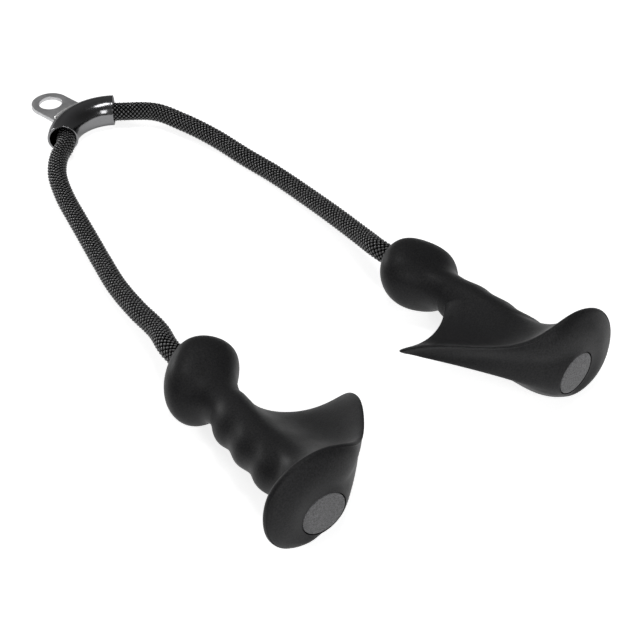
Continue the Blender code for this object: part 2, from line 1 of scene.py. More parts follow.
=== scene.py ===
# %% [markdown]
# # Dressing a triceps rope
# A triceps rope hangs from a cable machine. A steel yoke clips to the machine, a braided rope runs through
# the yoke, and each end of the rope carries a moulded rubber handle with a collar, finger grooves and a
# palm rest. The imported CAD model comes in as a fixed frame. This lesson puts the looks on it, piece by
# piece, and never moves what the CAD says.

import json
import math

import bmesh
import bpy
import numpy as np
from mathutils import Matrix, Vector


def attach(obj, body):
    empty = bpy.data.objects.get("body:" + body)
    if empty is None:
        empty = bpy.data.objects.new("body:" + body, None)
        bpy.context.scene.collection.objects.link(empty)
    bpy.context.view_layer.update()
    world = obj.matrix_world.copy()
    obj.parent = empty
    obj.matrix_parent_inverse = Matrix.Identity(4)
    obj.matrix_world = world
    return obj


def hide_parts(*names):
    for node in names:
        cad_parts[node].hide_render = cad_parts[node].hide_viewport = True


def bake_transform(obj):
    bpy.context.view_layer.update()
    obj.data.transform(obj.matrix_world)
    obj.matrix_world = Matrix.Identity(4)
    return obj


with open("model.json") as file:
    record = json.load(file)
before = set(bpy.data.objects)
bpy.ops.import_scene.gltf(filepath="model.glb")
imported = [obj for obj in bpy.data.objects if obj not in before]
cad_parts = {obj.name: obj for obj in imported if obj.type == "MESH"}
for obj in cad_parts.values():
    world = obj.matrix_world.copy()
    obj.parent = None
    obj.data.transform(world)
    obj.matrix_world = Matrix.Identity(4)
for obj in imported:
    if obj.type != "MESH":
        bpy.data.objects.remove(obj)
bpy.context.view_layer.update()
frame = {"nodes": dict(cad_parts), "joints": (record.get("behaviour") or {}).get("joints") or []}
JOINTS = {joint["name"]: joint for joint in frame["joints"]}
SIDES = {"left": -1, "right": 1}

# %% [markdown]
# ## The camera
# The photograph looks down on the piece from beyond the left handle. The camera was worked out from the
# two round end discs, whose ovals give the angle, and from the rope, whose width gives the distance. It
# comes first, because every later choice is judged through it.

# %% Set up the camera
CAMERA_PLACE = Vector((-0.4807, -0.7404, 0.7050))
CAMERA_HEADING = math.radians(51.75)            # from +X towards +Y
CAMERA_PITCH = math.radians(40.9)               # downwards
CAMERA_LENS = 81.6                              # mm, on a 36 mm sensor

camera_data = bpy.data.cameras.new("camera")
camera_data.lens = CAMERA_LENS
camera = bpy.data.objects.new("camera", camera_data)
bpy.context.scene.collection.objects.link(camera)
look = Vector((math.cos(CAMERA_PITCH) * math.cos(CAMERA_HEADING),
               math.cos(CAMERA_PITCH) * math.sin(CAMERA_HEADING), -math.sin(CAMERA_PITCH)))
camera.rotation_euler = look.to_track_quat("-Z", "Y").to_euler()
camera.location = CAMERA_PLACE
bpy.context.scene.camera = camera
bpy.context.scene.view_settings.view_transform = "Standard"
print("camera at", [round(value, 3) for value in camera.location])

# %% [markdown]
# ## Where things lie
# A rope has one centre line, and everything round it is measured from that line. The route repeats the
# CAD's own points in metres: out of the yoke, down to the floor in an easy curve and up into the handle.
# The curve passes through its points, and each slope is weighed by the lengths of the two spans that meet
# there, so that a short span next to a long one doesn't make the rope swerve.

# %% Measure the rope's route
ROPE_DIAMETER = 0.016
ROPE_RADIUS = ROPE_DIAMETER / 2
FLEX_LENGTH = 0.024                             # the stretch at the yoke that bends when a branch swings
TUBE_RADIUS = 0.013
TUBE_WALL = 0.002
BEND_RADIUS = 0.0415                            # of the tube's centre line
HALF_BEND = math.radians(92) / 2
ROPE_BEND_RADIUS = 0.0388                       # the rope lies against the inside of the bend
MOUTH_STUB = 0.002
ENTRY_RUN = 0.010                               # the straight run into a handle
ROUTE_FINENESS = 24                             # points between two chosen ones
YOKE_WORLD = Matrix.Translation((0.0225, 0.1845, TUBE_RADIUS)) @ Matrix.Rotation(math.radians(11.5), 4, "Z")
ROUTES = {"left": ((-0.0275, 0.187, 0.013), (-0.0405, 0.169, 0.0125), (-0.052, 0.138, 0.0105),
                   (-0.059, 0.108, 0.0095), (-0.065, 0.081, 0.009), (-0.073, 0.047, 0.0095),
                   (-0.081, 0.013, 0.012), (-0.087, -0.025, 0.017), (-0.0905, -0.060, 0.022)),
          "right": ((0.073, 0.196, 0.012), (0.085, 0.168, 0.0105), (0.093, 0.134, 0.0095),
                    (0.097, 0.096, 0.009), (0.101, 0.059, 0.0095), (0.101, 0.019, 0.012),
                    (0.098, -0.024, 0.017), (0.093, -0.068, 0.023))}


def bend_point(radius, angle):
    """A point on a circle about the yoke's bend, with the angle counted from its middle."""
    return Vector((radius * math.sin(angle), radius * math.cos(angle), 0.0))


def knot_slope(before, knot, after):
    """The slope of a smooth curve at a knot, with its two spans weighed by their lengths."""
    inwards, outwards = knot - before, after - knot
    slope = outwards.length * inwards.normalized() + inwards.length * outwards.normalized()
    return slope / (inwards.length + outwards.length)


def span_point(start, end, start_slope, end_slope, share):
    """A point on the curve between two knots, from their places and slopes."""
    left = 1 - share
    place = (1 + 2 * share) * left ** 2 * start + share ** 2 * (3 - 2 * share) * end
    return place + (end - start).length * share * left * (left * start_slope - share * end_slope)


def smooth_line(points):
    """A smooth curve through points."""
    knots = [2 * points[0] - points[1], *points, 2 * points[-1] - points[-2]]
    line = [points[0]]
    for a, b, c, d in zip(knots, knots[1:], knots[2:], knots[3:]):
        slopes = knot_slope(a, b, c), knot_slope(b, c, d)
        line += [span_point(b, c, *slopes, k / ROUTE_FINENESS) for k in range(1, ROUTE_FINENESS + 1)]
    return line


def line_length(line):
    """The length of a run of points."""
    return sum((b - a).length for a, b in zip(line, line[1:]))


def line_spot(line, distance):
    """The first point of a run that lies this far along it."""
    for k in range(1, len(line)):
        distance -= (line[k] - line[k - 1]).length
        if distance <= 0:
            return line[k]
    return line[-1]


def handle_axis(side):
    """Where the rope enters a handle, and the way that it runs on inside."""
    swivel = JOINTS["swivel_" + side]
    return Vector(swivel["pos_m"]), Vector(swivel["axis"]).normalized()


def rope_line(side):
    """The centre line of a free branch, from the yoke's mouth to the handle."""
    sign = SIDES[side]
    spot = bend_point(ROPE_BEND_RADIUS, sign * HALF_BEND)
    outwards = Vector((sign * math.cos(HALF_BEND), -math.sin(HALF_BEND), 0.0))
    start = YOKE_WORLD @ (spot + MOUTH_STUB * outwards)
    outwards = YOKE_WORLD.to_3x3() @ outwards
    entry, inwards = handle_axis(side)
    return smooth_line([start, start + FLEX_LENGTH / 4 * outwards,
                        *(Vector(point) for point in ROUTES[side]), entry - ENTRY_RUN * inwards, entry])


for side in SIDES:
    print(side, "branch is", round(line_length(rope_line(side)), 4), "m long")

# %% [markdown]
# ## Helpers for finishes
# Every finish starts from Blender's Principled shader. A pattern is wired to a socket, and a value that is
# the same all over is set on the socket itself. Patterns use object coordinates in metres, so a grain of
# half a millimetre is half a millimetre on every piece.

# %% Start a finish
NOISE_RANGE = (0.3, 0.7)                        # what Blender's noise mostly keeps to


def new_finish(name, color, roughness, metallic=0.0):
    """A Principled material with its plain values set."""
    material = bpy.data.materials.new(name)
    material.use_nodes = True
    shader = material.node_tree.nodes["Principled BSDF"]
    shader.inputs["Base Color"].default_value = (*color, 1.0)
    shader.inputs["Roughness"].default_value = roughness
    shader.inputs["Metallic"].default_value = metallic
    return material, shader


def feed(material, socket, value):
    """Sets an input to a value, or wires it to another node's output."""
    if isinstance(value, bpy.types.NodeSocket):
        material.node_tree.links.new(value, socket)
    else:
        socket.default_value = value


def add_node(material, kind, inputs=None, **settings):
    """A shader node with its settings, and its inputs set or wired."""
    made = material.node_tree.nodes.new("ShaderNode" + kind)
    for key, value in settings.items():
        setattr(made, key, value)
    for key, value in (inputs or {}).items():
        feed(material, made.inputs[key], value)
    return made


def noise(material, scale, detail=3.0, vector=None):
    """Cloudy noise, with its scale in waves a metre."""
    place = vector or add_node(material, "TexCoord").outputs["Object"]
    inputs = {"Vector": place, "Scale": scale, "Detail": detail}
    return add_node(material, "TexNoise", inputs).outputs["Fac"]


def stretched(material, stretch):
    """Object coordinates that are stretched, for a grain that runs one way."""
    place = add_node(material, "TexCoord").outputs["Object"]
    return add_node(material, "Mapping", {"Vector": place, "Scale": stretch}).outputs["Vector"]


def ramp(material, value, low, high, low_out, high_out):
    """Maps a value from one range to another."""
    inputs = {"Value": value, "From Min": low, "From Max": high, "To Min": low_out, "To Max": high_out}
    return add_node(material, "MapRange", inputs).outputs["Result"]


def tint(material, value, dark, light):
    """A colour between two, by a value from 0 to 1."""
    mixer = add_node(material, "Mix", {"Factor": value}, data_type="RGBA")
    mixer.inputs["A"].default_value = (*dark, 1.0)
    mixer.inputs["B"].default_value = (*light, 1.0)
    return mixer.outputs["Result"]


def joined(material, first, second, operation):
    """One value from two, by adding them or by taking the larger."""
    return add_node(material, "Math", {0: first, 1: second}, operation=operation).outputs[0]


def spread(material, pattern, low=0.0, high=1.0):
    """Stretches noise, which keeps to the middle of its range, from one value to another."""
    return ramp(material, pattern, *NOISE_RANGE, low, high)


def mottle(material, shader, pattern, dark, light):
    """Lets the colour wander between two, by a pattern."""
    feed(material, shader.inputs["Base Color"], tint(material, pattern, dark, light))


def vary_gloss(material, shader, pattern, low, high):
    """Lets the roughness wander between two values, by a noise."""
    feed(material, shader.inputs["Roughness"], spread(material, pattern, low, high))


def relief(material, shader, height, depth, strength=1.0):
    """Turns a height pattern into a bump of a real depth in metres."""
    bump = add_node(material, "Bump", {"Height": height, "Distance": depth, "Strength": strength})
    feed(material, shader.inputs["Normal"], bump.outputs["Normal"])


def set_material(item, material):
    """Gives a mesh object one material."""
    item.data.materials.clear()
    item.data.materials.append(material)


def add_piece(name, mesh, material, body=None, place=None):
    """A finished piece, put in place point by point. It rides on a body if one is given."""
    if place:
        mesh.transform(place)
    item = bpy.data.objects.new(name, mesh)
    bpy.context.scene.collection.objects.link(item)
    set_material(item, material)
    if body:
        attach(item, body)
    return item


print("finish helpers ready")

# %% [markdown]
# ## The braid
# The rope is a tubular braid: twelve flat yarns turn to the left, twelve to the right, and each goes over
# one and under one. A painted pattern would do from afar, but it has no shadows between the yarns and a
# smooth edge. So every yarn is a real strand here, and it needs a centre line with points at even steps
# and two directions across it that don't twist as the line turns.

# %% Read a line at even steps


def even_line(line, step):
    """The same run with points at even steps, the ways it runs and two sides to each."""
    steps = np.array([(b - a).length for a, b in zip(line, line[1:])])
    places = np.concatenate([[0.0], np.cumsum(steps)])
    count = max(3, int(round(places[-1] / step)) + 1)
    wanted = np.linspace(0.0, places[-1], count)
    spots = np.array([point[:] for point in line])
    points = np.stack([np.interp(wanted, places, spots[:, k]) for k in range(3)], axis=1)
    along = np.gradient(points, axis=0)
    along /= np.linalg.norm(along, axis=1)[:, None]
    side = np.cross(along[0], (0.0, 0.0, 1.0))
    sides = []
    for way in along:
        side = side - way * side.dot(way)
        side /= np.linalg.norm(side)
        sides.append(side)
    sides = np.array(sides)
    return wanted, points, along, sides, np.cross(sides, along)


def grid_faces(rows, columns, offset=0, looped=False):
    """The faces of a tube whose rows have this many columns: closed in a loop, or with two end faces."""
    count = rows if looped else rows - 1
    row, column = np.meshgrid(np.arange(count), np.arange(columns), indexing="ij")
    after, beyond = (column + 1) % columns, (row + 1) % rows
    quads = np.stack([row * columns + column, row * columns + after, beyond * columns + after,
                      beyond * columns + column], axis=-1).reshape(-1, 4) + offset
    faces = quads.tolist()
    if not looped:
        faces.append([offset + k for k in range(columns)][::-1])
        faces.append([offset + (rows - 1) * columns + k for k in range(columns)])
    return faces


centimetre = [Vector((0.0, 0.0, 0.0)), Vector((0.01, 0.0, 0.0))]
print("a straight centimetre has", len(even_line(centimetre, 0.001)[0]), "points a millimetre apart")

# %% [markdown]
# A yarn is a flat ribbon with a rounded back, swept along a screw line whose radius rises where it is on
# top and falls where it dives. A core closes the view between the strands, and it takes the near-black
# painted shade of the dips. Each point of a strand also keeps its height, from 0 where it dives to 1 on
# its crown, for the finish to read.

# %% Weave the yarns
YARNS_EACH_WAY = 12
YARN_STEP = 0.00370                             # along the rope, from one visible yarn to the next
YARN_WIDTH = 0.00220
YARN_THICKNESS = 0.00150
YARN_LIFT_SHARE = 0.50                          # of its thickness, up and down
YARN_SWELL = 0.07                               # how much wider a yarn is on its crown, a share
YARN_WANDER = 0.00007                           # up and down, by chance
WIDTH_WANDER = 0.05                             # of its width, by chance
WANDER_REACH = 13                               # samples that chance is smoothed over
SAMPLES_A_WAVE = 7
CORE_RADIUS = 0.0060
CORE_COLUMNS = 20
CORE_EVERY = 6                                  # samples from one ring of the core to the next
PATH_EVERY = 8                                  # samples from one point of the cord's path to the next
# (across, up) in halves of the yarn's width and thickness
YARN_SECTION = ((-1.0, 0.0), (-0.7, 0.7), (0.0, 1.0), (0.7, 0.7), (1.0, 0.0), (0.0, -0.9))


def braid_mesh(name, line, seed):
    """Woven strands round a core, along a line, and the path that they follow."""
    step = YARN_STEP / SAMPLES_A_WAVE
    places, points, along, sides, ups = even_line(line, step)
    rows = len(places)
    drift = np.random.default_rng(seed).normal(0.0, 1.0, (2, YARNS_EACH_WAY, rows))
    kernel = np.hanning(WANDER_REACH) / np.hanning(WANDER_REACH).sum()
    top = ROPE_RADIUS - YARN_THICKNESS / 2
    lift = YARN_THICKNESS * YARN_LIFT_SHARE
    section = np.array(YARN_SECTION)
    turn = 2 * math.pi / (YARN_STEP * YARNS_EACH_WAY)
    slant = math.atan(turn * ROPE_RADIUS)
    section_points = len(section)
    blocks, faces, heights = [], [], []
    for family, hand in enumerate((1, -1)):
        phase = 2 * math.pi * places / YARN_STEP + (0.0 if family == 0 else math.pi)
        wave = np.cos(phase)
        for yarn in range(YARNS_EACH_WAY):
            wobble = np.convolve(drift[family, yarn], kernel, mode="same")
            angle = 2 * math.pi * yarn / YARNS_EACH_WAY + hand * turn * places
            radius = top - lift + lift * wave + YARN_WANDER * wobble
            outward = np.cos(angle)[:, None] * sides + np.sin(angle)[:, None] * ups
            around = -np.sin(angle)[:, None] * sides + np.cos(angle)[:, None] * ups
            across = math.cos(slant) * around - hand * math.sin(slant) * along
            middle = points + radius[:, None] * outward
            half = YARN_WIDTH / 2 * (1.0 + YARN_SWELL * wave + WIDTH_WANDER * wobble)
            ring = (middle[:, None, :] + (half[:, None] * section[:, 0])[:, :, None] * across[:, None, :]
                    + (YARN_THICKNESS / 2 * section[:, 1])[None, :, None] * outward[:, None, :])
            faces += grid_faces(rows, section_points, len(blocks) * rows * section_points)
            blocks.append(ring.reshape(-1, 3))
            heights += ((1.0 + wave)[:, None] * (1.0 + section[:, 1])[None, :] / 4).ravel().tolist()
    angles = (np.arange(CORE_COLUMNS) * 2 * math.pi / CORE_COLUMNS)[None, :, None]
    middles, lefts, tops = (part[::CORE_EVERY][:, None, :] for part in (points, sides, ups))
    core = middles + CORE_RADIUS * (np.cos(angles) * lefts + np.sin(angles) * tops)
    faces += grid_faces(core.shape[0], CORE_COLUMNS, len(blocks) * rows * section_points)
    blocks.append(core.reshape(-1, 3))
    mesh = bpy.data.meshes.new(name)
    mesh.from_pydata(np.concatenate(blocks).tolist(), [], faces)
    # the core counts as height 0, so it takes the near-black painted shade of the dips
    heights += [0.0] * (len(mesh.vertices) - len(heights))
    mesh.attributes.new("height", "FLOAT", "POINT").data.foreach_set("value", heights)
    mesh.shade_smooth()
    print(name, "has", len(mesh.polygons), "faces")
    return mesh, [Vector(point) for point in points[::PATH_EVERY]] + [Vector(points[-1])]


print("a yarn goes round the rope once in", round(1000 * YARN_STEP * YARNS_EACH_WAY, 1), "mm")

# %% [markdown]
# ## The yarn's finish
# The yarn is black nylon. Its colour is painted light: near black where a strand dives, as painted shade
# between the strands, and a small grey fleck on each crown, as a painted highlight where the light catches
# the shiny yarn. So colour and gloss both follow the strand's height.

# %% Finish the yarn and lay the rope
TAIL_START = 0.0105                             # from the entry, inside a handle
TAIL_END = 0.1670
TAIL_POINTS = 16
CROWN_HIGHLIGHT_START = 0.62                              # of a strand's height, from where the painted highlight and the gloss grow; below it is painted shade
HIDDEN_STEP = 0.05                              # radians of the bend, between the points before a mouth
HIDDEN_POINTS = 4
THROUGH_SHARE = 0.78                            # of the bend, which the stretch inside fills
THROUGH_STEPS = 12                              # on each side of the middle
THROUGH_SEED = 7
TAIL_SEED = 11

BRAID, braid_shader = new_finish("braid_yarn", (0.02, 0.02, 0.02), 0.30)
strand_height = add_node(BRAID, "Attribute")
strand_height.attribute_name = "height"
# painted highlight on the crowns and painted shade in the dips: the colour runs from near black to grey
# with height
crown = ramp(BRAID, strand_height.outputs["Fac"], CROWN_HIGHLIGHT_START, 1.0, 0.0, 1.0)
mottle(BRAID, braid_shader, crown, (0.001, 0.001, 0.001), (0.20, 0.20, 0.205))
feed(BRAID, braid_shader.inputs["Specular IOR Level"],
     ramp(BRAID, strand_height.outputs["Fac"], CROWN_HIGHLIGHT_START, 1.0, 0.1, 1.0))
vary_gloss(BRAID, braid_shader, noise(BRAID, 300.0), 0.20, 0.34)
relief(BRAID, braid_shader, noise(BRAID, 3000.0, 2.0), 0.00003, 0.5)

for number, (side, sign) in enumerate(SIDES.items()):
    line = rope_line(side)
    entry, inwards = handle_axis(side)
    hidden = [YOKE_WORLD @ bend_point(ROPE_BEND_RADIUS, sign * (HALF_BEND - k * HIDDEN_STEP))
              for k in reversed(range(HIDDEN_POINTS))]
    full = hidden + line + [entry + TAIL_START * inwards]
    mesh, path = braid_mesh("braid_" + side, full, seed=number)
    rope = add_piece("braid_" + side, mesh, BRAID)
    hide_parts("rope_flex_" + side, "rope_" + side)
    line_spot(line, FLEX_LENGTH)
    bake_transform(rope)

through = [YOKE_WORLD @ bend_point(ROPE_BEND_RADIUS, HALF_BEND * (k / THROUGH_STEPS - 1) * THROUGH_SHARE)
           for k in range(2 * THROUGH_STEPS + 1)]
mesh, _ = braid_mesh("braid_in_yoke", through, seed=THROUGH_SEED)
rope = add_piece("braid_in_yoke", mesh, BRAID, "yoke")
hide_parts("rope_in_yoke")

for side in SIDES:
    entry, inwards = handle_axis(side)
    distances = np.linspace(TAIL_START, TAIL_END, TAIL_POINTS).tolist()
    tail = [entry + distance * inwards for distance in distances]
    mesh, _ = braid_mesh("braid_tail_" + side, tail, seed=TAIL_SEED)
    rope = add_piece("braid_tail_" + side, mesh, BRAID, "arm_" + side)
    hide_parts("rope_tail_" + side)

# %% [markdown]
# ## The moulded handle
# The handle is one moulding of soft rubber over a rigid tube. A mould can make any smooth form, and this
# one follows the hand: a collar that stops it sliding off, four grooves for the fingers, a wing that
# carries the edge of the palm and a lobe above it that spreads the load. The shape is a cage of sixteen
# columns. Column 0 lies on the palm side, 4 on top, 8 under the fingers and 12 below. Each ring is a row
# of shares of the handle's length, the wing's reach and the lobe's rise, so the whole form grows with
# those three sizes.

# %% Say how big the handle is
GRIP_LENGTH = 0.177
COLLAR_LENGTH = 0.060
COLLAR_RADIUS = 0.033
PALM_RADIUS = 0.016
TOP_RADIUS = 0.0165
FINGER_RADIUS = 0.0190
UNDER_RADIUS = 0.018
GROOVE_DEPTH = 0.0022
GROOVE_PITCH = 0.025
FIRST_GROOVE = 0.066
WING_REACH = 0.0885
LOBE_RISE = 0.0455
RIM_LIP = 0.0035
CAP_RADIUS = 0.0165
CAP_THICKNESS = 0.003
GAP = 0.0003
BORE_RADIUS = ROPE_RADIUS + GAP
FINGER_TURN = math.radians(20)                  # the fingers' grooves face a little downwards
HANDLE_ROLL = math.radians(-9)
COLUMNS = 16
SHAFT_RINGS = 12
# (place, radius) of each ring of the collar, as shares of its length and radius
COLLAR_SHARES = ((0.09, 0.25), (0.08, 0.30), (0.13, 0.42), (0.26, 0.74), (0.42, 1.01),
                 (0.62, 1.03), (0.77, 0.67), (0.89, 0.52), (1.00, 0.46))
COLLAR_SIDE_SHARES = (1.00, 0.97, 0.90, 0.80)   # palm, top, finger and under side
COLLAR_LIFT_SHARE = 0.03                        # fuller above than below
COLLAR_SKEW_SHARE = 0.06                        # fuller towards two opposite corners
COLLAR_FADE_SHARE = 0.7                         # of its length, where it starts to turn round again
COLLAR_TILT_SHARE = 0.28                        # of the radius, how far one side leans towards the rope
COLLAR_TILT_SIDE = math.radians(56)
COLLAR_BACK_SHARE = 0.26                        # of the radius, how much fuller the opposite side is
COLLAR_BACK_PLACE = (0.79, 0.16)                # its middle and its reach, of the collar's length
HOLLOW_SIDE = math.radians(90)                  # the side whose flank is hollow
HOLLOW_SPREAD = 1.5                             # how fast the hollow ends to both sides
HOLLOW_SHARE = 0.40                             # of the radius
HOLLOW_PLACE = (0.62, 0.34)                     # its middle and its reach, of the collar's length
# The first table says where each column leaves the shaft. The others have one (length, reach, rise) a
# column: the rim, the corner that bends the way from the shaft to the rim, and two rings inside the rim.
FLARE_SHARES = (0.38, 0.41, 0.45, 0.53, 0.66, 0.76, 0.82, 0.84,
                0.84, 0.84, 0.82, 0.79, 0.74, 0.64, 0.52, 0.42)
RIM_SHARES = ((0.45, 0.99, -0.06), (0.55, 0.91, 0.36), (0.70, 0.67, 0.49), (0.81, 0.47, 0.61),
              (0.88, 0.28, 0.86), (0.91, 0.02, 1.03), (0.94, -0.27, 0.93), (0.95, -0.47, 0.61),
              (0.96, -0.51, 0.13), (0.96, -0.44, -0.29), (0.96, -0.23, -0.55), (0.95, -0.02, -0.60),
              (0.91, 0.19, -0.46), (0.85, 0.39, -0.09), (0.74, 0.66, 0.22), (0.57, 0.91, 0.04))
CORNER_SHARES = ((0.52, 0.50, -0.14), (0.54, 0.44, -0.16), (0.62, 0.37, -0.10), (0.74, 0.30, 0.10),
                 (0.86, 0.16, 0.46), (0.89, -0.02, 0.59), (0.90, -0.19, 0.50), (0.90, -0.29, 0.30),
                 (0.90, -0.31, 0.04), (0.90, -0.27, -0.20), (0.90, -0.16, -0.39), (0.89, -0.01, -0.43),
                 (0.85, 0.16, -0.35), (0.77, 0.33, -0.30), (0.67, 0.44, -0.32), (0.57, 0.47, -0.32))
OUTER_SHARES = ((0.66, 0.83, 0.09), (0.69, 0.68, 0.22), (0.78, 0.52, 0.36), (0.87, 0.37, 0.52),
                (0.93, 0.23, 0.74), (0.95, 0.00, 0.89), (0.97, -0.22, 0.83), (0.99, -0.40, 0.52),
                (0.99, -0.46, 0.09), (0.99, -0.39, -0.28), (0.99, -0.22, -0.50), (0.99, -0.03, -0.57),
                (0.95, 0.17, -0.52), (0.89, 0.36, -0.25), (0.80, 0.58, 0.12), (0.69, 0.80, 0.05))
CONE_SHARES = ((0.84, 0.55, 0.07), (0.86, 0.48, 0.24), (0.90, 0.38, 0.34), (0.95, 0.29, 0.43),
               (0.98, 0.13, 0.59), (0.99, -0.02, 0.67), (1.00, -0.18, 0.61), (1.01, -0.29, 0.37),
               (1.01, -0.32, 0.04), (1.01, -0.29, -0.22), (1.01, -0.19, -0.39), (1.01, -0.06, -0.48),
               (0.99, 0.09, -0.43), (0.97, 0.24, -0.33), (0.90, 0.41, -0.13), (0.86, 0.53, -0.02))
RIM_LEAN_SHARE = 0.038                          # how far the rim's top lies nearer the end
RIM_TWIST_SHARE = 0.035
CONE_LEAN_SHARE = 0.2                           # of the rim's lean, what the cone inside it has
CORNER_BLEND_SHARES = (0.10, 0.28, 0.54, 0.80)  # of the way from the shaft to the rim
NECK_SHARE = 0.25                               # of the shaft, over which it grows out of the neck
LIP_END_SHARE = 0.6                             # of the lip, how far it bulges towards the end face
MID_OUTER_SHARE = 0.55
MID_RISE_SHARE = 0.5                            # of that bulge, what the rings behind it have
DIP_PLACE_SHARE = 0.27                          # the groove under the rim, on the way to the outer ring
DIP_SIDE = math.radians(30)                     # where that groove is deepest
CAP_EDGE_SHARE = 1.12                           # of the disc's radius, where the flared end turns flat
CAP_CORE_SHARE = 0.5
print("the wing reaches", WING_REACH / GRIP_LENGTH, "of the handle's length")

# %% [markdown]
# The collar is lopsided where it is wide and turns round again at the neck. Its upper flank is hollow, as
# the far handle shows in the photograph. The shaft's columns run on until each leaves for the flared end,
# the palm side first. A soft groove follows the flared end's rim, so that the rim shows as an edge.

# %% Build the handle's cage


def by_side(angle, palm, top, finger, under):
    """A value that each side has its own of, blended round the shaft."""
    level = palm if math.cos(angle) > 0 else finger
    upright = top if math.sin(angle) > 0 else under
    return level * math.cos(angle) ** 2 + upright * math.sin(angle) ** 2


def column_angle(column):
    """The angle of a column of the cage, from the palm side towards the top."""
    return 2 * math.pi * column / COLUMNS


def table_ring(shares, lean=1.0):
    """One ring of the cage from a table of shares, leaning towards the end face at its top."""
    ring = []
    for column, (s, t, n) in enumerate(shares):
        angle = column_angle(column)
        s += lean * (RIM_LEAN_SHARE * math.sin(angle) + RIM_TWIST_SHARE * math.sin(2 * angle))
        ring.append(Vector((s * GRIP_LENGTH, t * WING_REACH, n * LOBE_RISE)))
    return ring


def round_ring(s, radius):
    """One round ring of the cage."""
    angles = [column_angle(column) for column in range(COLUMNS)]
    return [Vector((s, radius * math.cos(angle), radius * math.sin(angle))) for angle in angles]


def collar_ring(s_share, radius_share):
    """One ring of the collar."""
    fade = min(1.0, (1.0 - s_share) / (1.0 - COLLAR_FADE_SHARE))
    place, spread = COLLAR_BACK_PLACE
    fuller = COLLAR_BACK_SHARE * max(0.0, 1.0 - abs(s_share - place) / spread)
    ring = []
    for column, point in enumerate(round_ring(s_share * COLLAR_LENGTH, radius_share * COLLAR_RADIUS)):
        angle = column_angle(column)
        shape = by_side(angle, *COLLAR_SIDE_SHARES)
        shape += COLLAR_LIFT_SHARE * math.sin(angle) + COLLAR_SKEW_SHARE * math.sin(2 * angle)
        size = 1.0 + fade * (shape - 1.0) + fuller * max(0.0, -math.cos(angle - COLLAR_TILT_SIDE))
        hollow = max(0.0, 1.0 - ((s_share - HOLLOW_PLACE[0]) / HOLLOW_PLACE[1]) ** 2)
        near = math.cos(min(math.pi / 2, HOLLOW_SPREAD * abs(angle - HOLLOW_SIDE)))
        size *= 1.0 - HOLLOW_SHARE * hollow * near
        tilt = COLLAR_TILT_SHARE * fade * size * radius_share * COLLAR_RADIUS
        s = point.x - tilt * math.cos(angle - COLLAR_TILT_SIDE)
        ring.append(Vector((s, size * point.y, size * point.z)))
    return ring


def shaft_ring(step):
    """One ring of the shaft, with the finger grooves on its finger side."""
    share = step / SHAFT_RINGS
    neck = COLLAR_SHARES[-1][1] * COLLAR_RADIUS
    ring = []
    for column in range(COLUMNS):
        angle = column_angle(column)
        s = COLLAR_LENGTH + (FLARE_SHARES[column] * GRIP_LENGTH - COLLAR_LENGTH) * share
        turned = angle - FINGER_TURN
        full = by_side(turned, PALM_RADIUS, TOP_RADIUS, FINGER_RADIUS, UNDER_RADIUS)
        radius = neck + (full - neck) * min(1.0, share / NECK_SHARE)
        wave = -math.cos(2 * math.pi * (s - FIRST_GROOVE) / GROOVE_PITCH)
        radius += GROOVE_DEPTH * wave * max(0.0, -math.cos(turned))
        ring.append(Vector((s, radius * math.cos(angle), radius * math.sin(angle))))
    return ring


def pulled(start, pull, end, share):
    """A point on the curve from one point to another that a third one pulls towards itself."""
    return (1 - share) ** 2 * start + 2 * share * (1 - share) * pull + share ** 2 * end


def grip_rings():
    """The whole cage, ring by ring from the rope's entry to the end face."""
    rings = [collar_ring(s, radius) for s, radius in COLLAR_SHARES]
    rings += [shaft_ring(step) for step in range(1, SHAFT_RINGS + 1)]
    rim, corner = table_ring(RIM_SHARES), table_ring(CORNER_SHARES)
    outer, cone = table_ring(OUTER_SHARES), table_ring(CONE_SHARES, CONE_LEAN_SHARE)
    shaft_end = rings[-1]
    for share in CORNER_BLEND_SHARES:
        rings.append([pulled(a, b, c, share) for a, b, c in zip(shaft_end, corner, rim)])
    rings.append(rim)
    towards_end = Vector((LIP_END_SHARE * RIM_LIP, 0.0, 0.0))
    rings.append([a + RIM_LIP * (b - a).normalized() + towards_end for a, b in zip(rim, outer)])
    dips = [max(0.0, math.cos(column_angle(column) - DIP_SIDE)) for column in range(COLUMNS)]
    for share, rise in ((DIP_PLACE_SHARE, 0.0), (MID_OUTER_SHARE, MID_RISE_SHARE)):
        rings.append([a.lerp(b, share) + (MID_RISE_SHARE * (1 - dip) + rise * dip) * towards_end
                      for a, b, dip in zip(rim, outer, dips)])
    rings += [outer, cone]
    for share in (CAP_EDGE_SHARE, 1.0, CAP_CORE_SHARE):
        rings.append(round_ring(GRIP_LENGTH, share * CAP_RADIUS))
    return rings


print("the cage has", len(grip_rings()), "rings of", COLUMNS)

# %% [markdown]
# A subdivision surface turns the cage into the soft form, and a turned cutter takes out the rope's entry
# and the cap's seat. The right handle is the left one in a mirror, but the rope's lay rolls both the same
# way.

# %% Mould the handles
SMOOTH_LEVEL = 3
CUTTER_STEPS = 96
OVERRUN = 0.006                                 # how far a cutter runs past what it cuts
MERGE_DISTANCE = 1e-6
SHARP_EDGE = math.radians(40)


def mesh_of(body, name):
    """The mesh of a body of faces, all turned outwards. The body goes."""
    bmesh.ops.recalc_face_normals(body, faces=body.faces)
    mesh = bpy.data.meshes.new(name)
    body.to_mesh(mesh)
    body.free()
    return mesh


def turned_mesh(name, profile, steps):
    """A turned shape about the handle's own length, from (radius, s) pairs."""
    body = bmesh.new()
    verts = [body.verts.new((s, radius, 0.0)) for radius, s in profile]
    edges = [body.edges.new(pair) for pair in zip(verts, verts[1:])]
    bmesh.ops.spin(body, geom=verts + edges, cent=(0, 0, 0), axis=(1, 0, 0), angle=2 * math.pi, steps=steps)
    bmesh.ops.remove_doubles(body, verts=body.verts, dist=MERGE_DISTANCE)
    return mesh_of(body, name)


